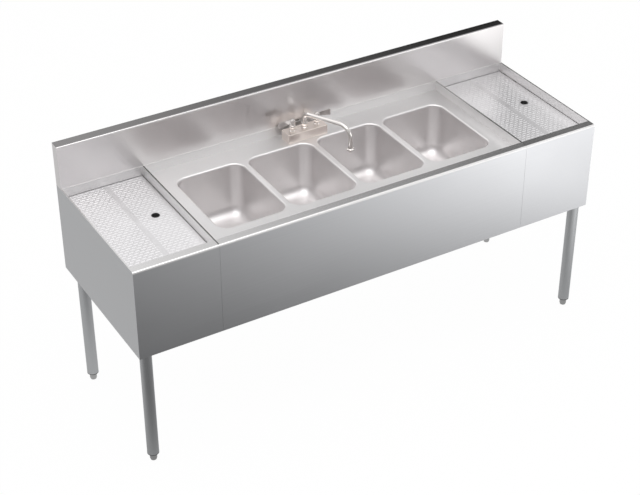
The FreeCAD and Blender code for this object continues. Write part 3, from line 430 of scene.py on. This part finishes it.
def prism(name, outline, low, high):
    """A closed prism over an outline, between two heights."""
    work = bmesh.new()
    bottom = [work.verts.new((x, y, low)) for x, y in outline]
    top = [work.verts.new((x, y, high)) for x, y in outline]
    work.faces.new(list(reversed(bottom)))
    work.faces.new(top)
    count = len(outline)
    for index in range(count):
        after = (index + 1) % count
        work.faces.new((bottom[index], bottom[after], top[after], top[index]))
    return mesh_of(name, work)


def turned(name, outline, middle, count=48):
    """A closed ring: an outline of (radius, height) points carried round an upright axis."""
    work = bmesh.new()
    rings = []
    for step in range(count):
        turn = 2 * math.pi * step / count
        across = Vector((math.cos(turn), math.sin(turn), 0.0))
        ring = [work.verts.new(Vector(middle) + across * radius + Vector((0, 0, height)))
                for radius, height in outline]
        rings.append(ring)
    size = len(outline)
    for step in range(count):
        here, there = rings[step], rings[(step + 1) % count]
        for index in range(size):
            after = (index + 1) % size
            work.faces.new((here[index], there[index], there[after], here[after]))
    return mesh_of(name, work)


def tongue_mesh(length):
    """The tongue of one slot: its back edge joins the plate and its front edge dips."""
    work = bmesh.new()
    half = Vector((length * TONGUE_REACH, SLOT_WIDTH * TONGUE_OVERLAP, SHEET * TONGUE_THINNESS))
    made = add_box(work, -half, half)
    bmesh.ops.rotate(work, verts=made, matrix=Matrix.Rotation(math.radians(TONGUE_SLOPE), 3, "X"))
    drop = half.y * math.sin(math.radians(TONGUE_SLOPE)) + SHEET * TONGUE_DROP
    bmesh.ops.translate(work, verts=made, vec=(0.0, 0.0, -drop))
    return mesh_of("slot_tongue", work)


def slot_pair(name, length):
    """The cutter and the tongue of a slot of one length."""
    cutter = prism(name + "_cutter", capsule_outline(length, SLOT_WIDTH), -CUT_DEPTH, CUT_DEPTH)
    return mesh_object(name + "_cutter", cutter), mesh_object(name + "_tongue", tongue_mesh(length))


long_slot = slot_pair("long_slot", SLOT_LENGTH)
short_slot = slot_pair("short_slot", SHORT_SLOT)
print("slot cutter:", len(long_slot[0].data.polygons), "faces")

# %% The tree that repeats the slots
def slot_tree(material):
    """Geometry Nodes: cut a staggered grid of slots in the object's mesh and lay a tongue in each."""
    tree = bpy.data.node_groups.new("slot_rows", "GeometryNodeTree")
    face = tree.interface
    face.new_socket("Geometry", in_out="INPUT", socket_type="NodeSocketGeometry")
    for name, value in (("Columns", COLUMNS), ("Rows", ROWS)):
        socket = face.new_socket(name, in_out="INPUT", socket_type="NodeSocketInt")
        socket.default_value = value
    for name, value in (("Pitch", SLOT_PITCH), ("Row pitch", ROW_PITCH), ("Land", FINGER_LAND)):
        socket = face.new_socket(name, in_out="INPUT", socket_type="NodeSocketFloat")
        socket.default_value = value
    for name in ("First panel", "Second panel", "Finger hole"):
        face.new_socket(name, in_out="INPUT", socket_type="NodeSocketVector")
    face.new_socket("Geometry", in_out="OUTPUT", socket_type="NodeSocketGeometry")
    enter = add(tree, "NodeGroupInput")
    leave = add(tree, "NodeGroupOutput")
    long_points = add(tree, "GeometryNodeJoinGeometry")
    short_points = add(tree, "GeometryNodeJoinGeometry")
    for panel in ("First panel", "Second panel"):
        for stagger in (0, 1):
            join(tree, panel_points(tree, enter, panel, stagger), long_points.inputs["Geometry"])
        join(tree, end_points(tree, enter, panel), short_points.inputs["Geometry"])
    cut = add(tree, "GeometryNodeMeshBoolean", operation="DIFFERENCE", solver="EXACT")
    join(tree, enter.outputs["Geometry"], cut.inputs[0])
    gather = add(tree, "GeometryNodeJoinGeometry")
    for points, (cutter, tongue) in ((long_points, long_slot), (short_points, short_slot)):
        kept = away_from_hole(tree, enter, points.outputs[0])
        join(tree, copies(tree, kept, cutter), cut.inputs[1])
        join(tree, copies(tree, kept, tongue), gather.inputs["Geometry"])
    join(tree, cut.outputs[0], gather.inputs["Geometry"])
    real = add(tree, "GeometryNodeRealizeInstances")
    paint = add(tree, "GeometryNodeSetMaterial")
    paint.inputs["Material"].default_value = material
    join(tree, gather.outputs[0], real.inputs[0])
    join(tree, real.outputs[0], paint.inputs["Geometry"])
    join(tree, paint.outputs["Geometry"], leave.inputs["Geometry"])
    return tree


def panel_points(tree, enter, panel, stagger):
    """The middles of the long slots on every second row of one panel."""
    columns = maths(tree, "SUBTRACT", enter.outputs["Columns"], stagger)
    width = maths(tree, "MULTIPLY", enter.outputs["Pitch"], maths(tree, "SUBTRACT", columns, 1))
    return row_grid(tree, enter, panel, columns, width, stagger)


def end_points(tree, enter, panel):
    """The middles of the short slots that close both ends of every second row."""
    gaps = maths(tree, "SUBTRACT", enter.outputs["Columns"], 1)
    width = maths(tree, "MULTIPLY", enter.outputs["Pitch"], gaps)
    return row_grid(tree, enter, panel, 2, maths(tree, "ADD", width, SLOT_LENGTH - SHORT_SLOT), 1)


def row_grid(tree, enter, panel, columns, width, stagger):
    """Points in columns over a width, on every second row of one panel."""
    rows = maths(tree, "MULTIPLY", enter.outputs["Rows"], 0.5)
    length = maths(tree, "MULTIPLY", enter.outputs["Row pitch"],
                   maths(tree, "MULTIPLY", maths(tree, "SUBTRACT", rows, 1), 2))
    grid = add(tree, "GeometryNodeMeshGrid")
    join(tree, width, grid.inputs["Size X"])
    join(tree, length, grid.inputs["Size Y"])
    if isinstance(columns, int):
        grid.inputs["Vertices X"].default_value = columns
    else:
        join(tree, columns, grid.inputs["Vertices X"])
    join(tree, rows, grid.inputs["Vertices Y"])
    shift = add(tree, "ShaderNodeCombineXYZ")
    shift.inputs["Y"].default_value = ROW_PITCH * (stagger - 0.5)
    move = add(tree, "ShaderNodeVectorMath", operation="ADD")
    join(tree, enter.outputs[panel], move.inputs[0])
    join(tree, shift.outputs[0], move.inputs[1])
    carry = add(tree, "GeometryNodeTransform")
    join(tree, grid.outputs["Mesh"], carry.inputs["Geometry"])
    join(tree, move.outputs[0], carry.inputs["Translation"])
    return carry.outputs["Geometry"]


def away_from_hole(tree, enter, points):
    """Leave out the points that lie within the land of the finger hole."""
    here = add(tree, "GeometryNodeInputPosition")
    reach = add(tree, "ShaderNodeVectorMath", operation="DISTANCE")
    join(tree, here.outputs[0], reach.inputs[0])
    join(tree, enter.outputs["Finger hole"], reach.inputs[1])
    near = maths(tree, "LESS_THAN", reach.outputs["Value"], enter.outputs["Land"])
    drop = add(tree, "GeometryNodeDeleteGeometry")
    join(tree, points, drop.inputs["Geometry"])
    join(tree, near, drop.inputs["Selection"])
    return drop.outputs["Geometry"]


def copies(tree, points, thing):
    """One copy of an object on every point."""
    info = add(tree, "GeometryNodeObjectInfo")
    info.inputs["Object"].default_value = thing
    spread = add(tree, "GeometryNodeInstanceOnPoints")
    join(tree, points, spread.inputs["Points"])
    join(tree, info.outputs["Geometry"], spread.inputs["Instance"])
    return spread.outputs["Instances"]


insert_steel = brushed("insert_steel", (0.77, 0.76, 0.77), 0.45, depth=0.03, spread=0.03, anisotropy=0.2)
slot_rows = slot_tree(insert_steel)
print("slot tree:", len(slot_rows.nodes), "nodes")

# %% Build the inserts
def input_id(tree, name):
    """The identifier of one of a tree's inputs."""
    for item in tree.interface.items_tree:
        if item.name == name and item.in_out == "INPUT":
            return item.identifier
    raise KeyError(name)


def cut_with(target, cutter):
    """Take one mesh out of another, keep the result as a plain mesh and drop the cutter."""
    modifier = target.modifiers.new("cut", "BOOLEAN")
    modifier.operation = "DIFFERENCE"
    modifier.solver = "EXACT"
    modifier.object = cutter
    freeze(target)
    bpy.data.objects.remove(cutter)


def freeze(target):
    """Apply an object's modifiers by replacing its mesh with the evaluated one."""
    depsgraph = bpy.context.evaluated_depsgraph_get()
    mesh = bpy.data.meshes.new_from_object(target.evaluated_get(depsgraph))
    target.modifiers.clear()
    target.data = mesh


def make_insert(side):
    """The slotted plate of one drainboard, in the place of its solid."""
    low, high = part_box(side + "_insert")
    middle = (low + high) / 2
    top = high.z
    work = bmesh.new()
    add_box(work, low, high)
    plate = mesh_object(side + "_slotted_insert", mesh_of(side + "_slotted_insert", work), insert_steel)
    inside = bmesh.new()
    add_box(inside, low + Vector((SHEET, SHEET, -OPEN_BELOW)), high - Vector((SHEET, SHEET, SHEET)))
    cut_with(plate, mesh_object("hollow_cutter", mesh_of("hollow_cutter", inside)))
    hole = (middle.x + FINGER_PLACE[0], middle.y + FINGER_PLACE[1])
    rows = plate.modifiers.new("slots", "NODES")
    rows.node_group = slot_rows
    reach = STRIP_HALF + SLOT_PITCH * (COLUMNS - 1) / 2 + SLOT_LENGTH / 2
    for panel, offset in (("First panel", -reach), ("Second panel", reach)):
        place = (middle.x + STRIP_MIDDLE + offset, middle.y + FIRST_ROW + ROW_PITCH * (ROWS - 1) / 2, top)
        rows[input_id(slot_rows, panel)] = place
    rows[input_id(slot_rows, "Finger hole")] = (hole[0], hole[1], top)
    freeze(plate)
    outline = circle_points(hole, FINGER_RADIUS)
    cut_with(plate, mesh_object("punch", prism("punch", outline, top - CUT_DEPTH, top + CUT_DEPTH)))
    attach(plate, side + "_insert")
    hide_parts(side + "_insert")
    print(side, "insert:", len(plate.data.polygons), "faces")
    return Vector((hole[0], hole[1], top))


def make_grommet(side, hole):
    """Black rubber ring that lines the finger hole and covers its sharp edge."""
    outline = [
        (FINGER_RADIUS - GROMMET_WALL, -GROMMET_DEPTH),
        (FINGER_RADIUS, -GROMMET_DEPTH),
        (FINGER_RADIUS, 0.0),
        (FINGER_RADIUS + GROMMET_LIP, 0.0),
        (FINGER_RADIUS + GROMMET_LIP * 0.75, GROMMET_LIP * 0.75),
        (FINGER_RADIUS - GROMMET_LIP * 1.25, GROMMET_LIP),
        (FINGER_RADIUS - GROMMET_WALL, 0.0),
    ]
    name = side + "_finger_grommet"
    ring = mesh_object(name, turned(name, outline, hole), gasket_rubber)
    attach(ring, side + "_insert")


for side in ("left", "right"):
    make_grommet(side, make_insert(side))
for helper in long_slot + short_slot:
    bpy.data.objects.remove(helper)

# %% [markdown]
# ## Sealant in the seams
# The deck and the drainboards are three trays set side by side. A thin dark bead of sealant fills
# the joints between them; it's too fine for the solids. The left bead is made wider than the right,
# and that extra width is a painted shadow for the shade along the recess wall beside that seam.

# %% Sealant beads
HALF_SEAM = 0.00025
NOSE_DEPTH = 0.006
BEAD_UNDER = 0.0006
BEAD_OVER = 0.0003


def make_bead(side, sign, half_width):
    """A low dark bead along the joint between the deck and one drainboard: sealant, and where it is wide,
    painted shadow.
    """
    deck_low, deck_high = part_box("centre_deck")
    seam = deck_high.x if sign > 0 else deck_low.x
    work = bmesh.new()
    middle = seam + sign * HALF_SEAM
    front = deck_low.y + NOSE_DEPTH
    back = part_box("backsplash")[0].y
    low = (middle - half_width, front, RIM_TOP - BEAD_UNDER)
    high = (middle + half_width, back, RIM_TOP + BEAD_OVER)
    add_box(work, low, high)
    bead = mesh_object(side + "_sealant", mesh_of(side + "_sealant", work), gasket_rubber)
    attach(bead, "carcass")


# The left bead's width is partly a painted shadow of the shade by that seam; the right one is a plain dark
# joint.
make_bead("left", -1, half_width=0.0019)
make_bead("right", 1, half_width=0.0006)
print("beads laid")

# %% [markdown]
# ## Weld bead
# The splash is welded to the back walls of the three trays. A ground bead runs along that joint and
# catches the light from above as a fine line.

# %% Weld bead
WELD_RADIUS = 0.0011
WELD_PROUD = 0.3
WELD_SIDES = 10


def along(name, section, low, high):
    """A closed bar: a section of (y, z) points carried along X from low to high."""
    work = bmesh.new()
    near = [work.verts.new((low, y, z)) for y, z in section]
    far = [work.verts.new((high, y, z)) for y, z in section]
    work.faces.new(near)
    work.faces.new(list(reversed(far)))
    count = len(section)
    for index in range(count):
        after = (index + 1) % count
        work.faces.new((near[index], near[after], far[after], far[index]))
    return mesh_of(name, work)


def make_weld(name, y, z):
    """A low round bead on the face of the splash, at one height."""
    low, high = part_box("backsplash")
    section = circle_points((y, z), WELD_RADIUS, WELD_SIDES)
    weld = mesh_object(name, along(name, section, low.x, high.x), weld_steel)
    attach(weld, "carcass")


weld_steel = satin("weld_steel", (0.66, 0.65, 0.64), 0.45, mottle=300.0, depth=0.1)
make_weld("splash_weld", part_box("backsplash")[0].y + WELD_RADIUS * WELD_PROUD, RIM_TOP)
print("weld bead laid")

# %% [markdown]
# ## Floor, light and background
# A plain pale floor and a soft studio. The background is white because the floor and the world are
# white to the camera. Metal sees a bright ceiling, one dark screen behind on the right that shows in
# the polished edges, and a floor with a bright pool at the front right, as if a lamp stood there. The
# pool ends before the far floor, so that the skirts don't turn white when they are seen from lower
# down. A darker patch beyond the right end keeps the splash's right end from washing out.

# %% Floor
FLOOR_TONE = 0.85
FLOOR_WHITE = 0.975
FLOOR_HALF = 30.0
POOL_GROWTH = 2.28
POOL_AT_MIDDLE = 0.52
POOL_MOST = 2.4
FAR_LEVEL = 0.8
LEAST_LEVEL = 0.2
BEHIND_LEVEL = 0.66
NEAR_SHARE = 1.15
UNDER_SHARE = 0.40
PATCH_DEPTH = 0.85
# Each pair below is where, in metres along X or Y, one level gives way to the next.
RIGHT_FADE = (2.0, 2.7)
FRONT_FADE = (-2.4, -1.7)
UNDER_FADE = (-1.35, -0.55)
BACK_FADE = (-0.55, -0.05)
PATCH_LEFT = (1.60, 1.78)
PATCH_FRONT = (-1.31, -1.17)


def floor_glow(tree):
    """What metal sees of the floor: dim at the front left, a bright pool at the right, dim beyond."""
    place = add(tree, "ShaderNodeTexCoord")
    split = add(tree, "ShaderNodeSeparateXYZ")
    join(tree, place.outputs["Object"], split.inputs[0])
    across, deep = split.outputs["X"], split.outputs["Y"]
    far_right = remap(tree, across, POOL_MOST, FAR_LEVEL, *RIGHT_FADE)
    far_front = remap(tree, deep, FAR_LEVEL, POOL_MOST, *FRONT_FADE)
    most = maths(tree, "MINIMUM", far_right, far_front)
    growth = maths(tree, "MULTIPLY", maths(tree, "POWER", POOL_GROWTH, across), POOL_AT_MIDDLE)
    level = maths(tree, "MINIMUM", growth, most)
    near = remap(tree, deep, NEAR_SHARE, UNDER_SHARE, *UNDER_FADE)
    beyond = remap(tree, across, 0.0, PATCH_DEPTH, *PATCH_LEFT)
    beside = remap(tree, deep, 0.0, 1.0, *PATCH_FRONT)
    shade = maths(tree, "SUBTRACT", 1.0, maths(tree, "MULTIPLY", beyond, beside))
    pool = maths(tree, "MULTIPLY", maths(tree, "MULTIPLY", level, near), shade)
    blend = add(tree, "ShaderNodeMix", data_type="FLOAT")
    join(tree, remap(tree, deep, 0.0, 1.0, *BACK_FADE), blend.inputs[0])
    join(tree, maths(tree, "MAXIMUM", pool, LEAST_LEVEL), blend.inputs[2])
    blend.inputs[3].default_value = BEHIND_LEVEL
    return blend.outputs[0]


def pale_floor():
    """A wide white floor that keeps a faint shadow."""
    work = bmesh.new()
    bmesh.ops.create_grid(work, x_segments=1, y_segments=1, size=FLOOR_HALF)
    mesh = bpy.data.meshes.new("studio_floor")
    work.to_mesh(mesh)
    work.free()
    material = bpy.data.materials.new("studio_floor")
    material.use_nodes = True
    tree = material.node_tree
    tree.nodes.clear()
    out = add(tree, "ShaderNodeOutputMaterial")
    matt = add(tree, "ShaderNodeBsdfDiffuse")
    matt.inputs["Color"].default_value = (FLOOR_TONE, FLOOR_TONE, FLOOR_TONE, 1.0)
    shine = add(tree, "ShaderNodeEmission")
    ray = add(tree, "ShaderNodeLightPath")
    seen = maths(tree, "MAXIMUM", ray.outputs["Is Camera Ray"], ray.outputs["Is Transmission Ray"])
    mirrored = maths(tree, "MULTIPLY", ray.outputs["Is Glossy Ray"], floor_glow(tree))
    join(tree, maths(tree, "ADD", seen, mirrored), shine.inputs["Strength"])
    share = maths(tree, "MAXIMUM", maths(tree, "MULTIPLY", seen, FLOOR_WHITE), ray.outputs["Is Glossy Ray"])
    mix = add(tree, "ShaderNodeMixShader")
    join(tree, share, mix.inputs[0])
    join(tree, matt.outputs[0], mix.inputs[1])
    join(tree, shine.outputs[0], mix.inputs[2])
    join(tree, mix.outputs[0], out.inputs["Surface"])
    floor = mesh_object("studio_floor", mesh, material)


pale_floor()
print("floor laid")

# %% World
# A pair of levels goes with the pair after it, which says for which directions the level changes.
SCREEN_TOWARD = (0.664, 0.664, 0.342)
SCREEN_LEVELS = (1.0, 0.06)
SCREEN_EDGE = (0.91, 0.982)
CEILING_LEVELS = (0.95, 1.35)
CEILING_RISE = (0.5, 0.85)
FRONT_LEVELS = (0.6, 1.0)
FRONT_RISE = (-0.8, 0.2)


def soft_room():
    """White to the camera; to the metal a bright room with one dark screen behind on the right."""
    world = bpy.data.worlds.new("soft_room")
    bpy.context.scene.world = world
    world.use_nodes = True
    tree = world.node_tree
    tree.nodes.clear()
    out = add(tree, "ShaderNodeOutputWorld")
    shine = add(tree, "ShaderNodeBackground")
    ray = add(tree, "ShaderNodeLightPath")
    place = add(tree, "ShaderNodeTexCoord")
    split = add(tree, "ShaderNodeSeparateXYZ")
    join(tree, place.outputs["Generated"], split.inputs[0])
    toward = add(tree, "ShaderNodeVectorMath", operation="DOT_PRODUCT")
    join(tree, place.outputs["Generated"], toward.inputs[0])
    toward.inputs[1].default_value = SCREEN_TOWARD
    screen = remap(tree, toward.outputs["Value"], *SCREEN_LEVELS, *SCREEN_EDGE)
    above = remap(tree, split.outputs["Z"], *CEILING_LEVELS, *CEILING_RISE)
    behind = remap(tree, split.outputs["Y"], *FRONT_LEVELS, *FRONT_RISE)
    level = maths(tree, "MULTIPLY", maths(tree, "MULTIPLY", screen, above), behind)
    white = maths(tree, "MAXIMUM", ray.outputs["Is Camera Ray"], ray.outputs["Is Transmission Ray"])
    join(tree, maths(tree, "MAXIMUM", level, white), shine.inputs["Strength"])
    shine.inputs["Color"].default_value = (1.0, 1.0, 1.0, 1.0)
    join(tree, shine.outputs[0], out.inputs["Surface"])


soft_room()
print("room lit")

# %% Lamps
def lamp(name, place, aim, size, power):
    """A broad rectangular lamp that points at a place."""
    data = bpy.data.lights.new(name, "AREA")
    data.shape = "RECTANGLE"
    data.size, data.size_y = size
    data.energy = power
    thing = bpy.data.objects.new(name, data)
    thing.location = place
    direction = Vector(aim) - Vector(place)
    thing.rotation_euler = direction.to_track_quat("-Z", "Y").to_euler()
    bpy.context.scene.collection.objects.link(thing)


lamp("front_right_lamp", place=(2.6, -3.2, 1.4), aim=(0.6, 0.0, 0.6), size=(2.4, 1.8), power=20)
lamp("overhead_lamp", place=(-0.5, -1.0, 3.6), aim=(0.0, 0.0, 0.8), size=(3.0, 2.0), power=30)
print("lamps set")
